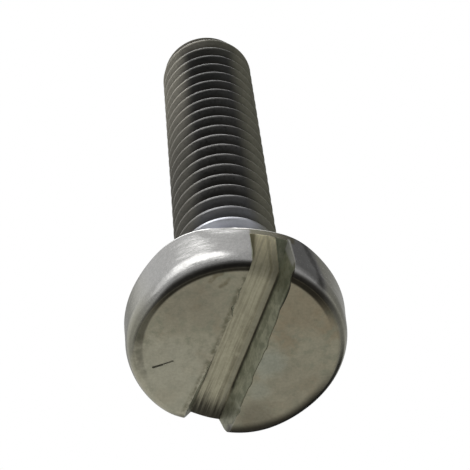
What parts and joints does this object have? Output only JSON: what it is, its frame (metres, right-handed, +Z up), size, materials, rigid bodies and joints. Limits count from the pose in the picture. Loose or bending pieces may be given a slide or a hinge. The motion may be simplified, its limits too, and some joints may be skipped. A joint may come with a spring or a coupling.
{
  "type": "slotted pan head machine screw",
  "caption": "Slotted pan head machine screw with a fully threaded shank and a chamfered point, standing on its head with the point up.",
  "frame": {"origin": "on the table, in the middle of the head's flat top, on the screw's axis", "axes": "+Z up, along the screw from the head to the point, +Y away from the viewer and +X to the right as in the picture, which looks up at the head"},
  "size_m": [0.0126, 0.0126, 0.0345],
  "materials": {
    "plated_steel": "worn zinc plate, satin, greyer in the thread"
  },
  "bodies": {
    "root": {"machine_screw": "plated_steel"}
  },
  "joints": []
}
